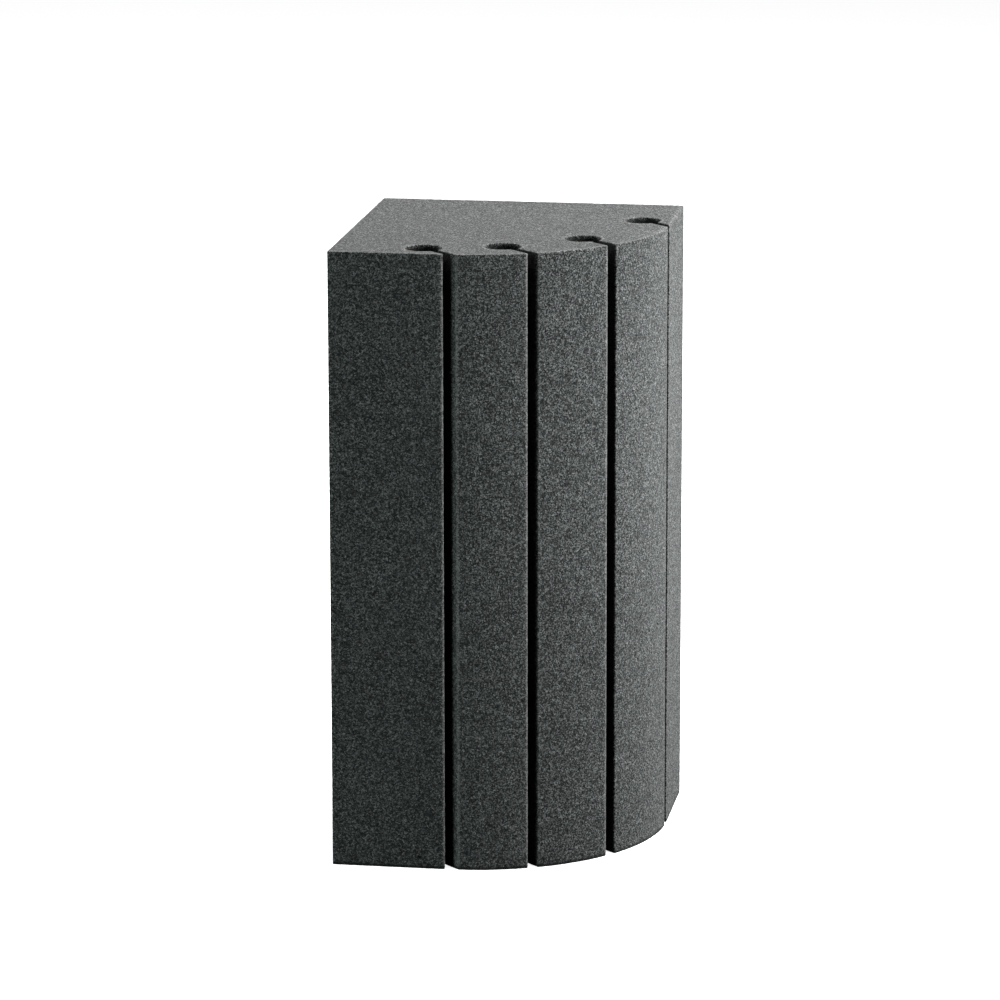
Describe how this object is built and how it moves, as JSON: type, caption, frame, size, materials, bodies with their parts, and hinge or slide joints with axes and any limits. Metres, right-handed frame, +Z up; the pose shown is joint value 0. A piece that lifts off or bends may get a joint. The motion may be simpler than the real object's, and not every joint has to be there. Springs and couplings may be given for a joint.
{
  "type": "corner bass trap",
  "caption": "Tall foam block with a rounded front and keyhole slots that stands in a room corner to absorb low frequencies.",
  "frame": {"origin": "centre of the bounding box's bottom face, on the floor", "axes": "+Z up, along the block's length; the wall faces look to -X and +Y, the flat front faces to -Y and +X, and the rounded front to the corner between -Y and +X"},
  "size_m": [0.3048, 0.3048, 0.6096],
  "materials": {
    "foam": "matte"
  },
  "bodies": {
    "root": {"corner_core": "foam", "left_end_fin": "foam", "left_front_fin": "foam", "middle_front_fin": "foam", "right_front_fin": "foam", "right_end_fin": "foam"}
  },
  "joints": []
}
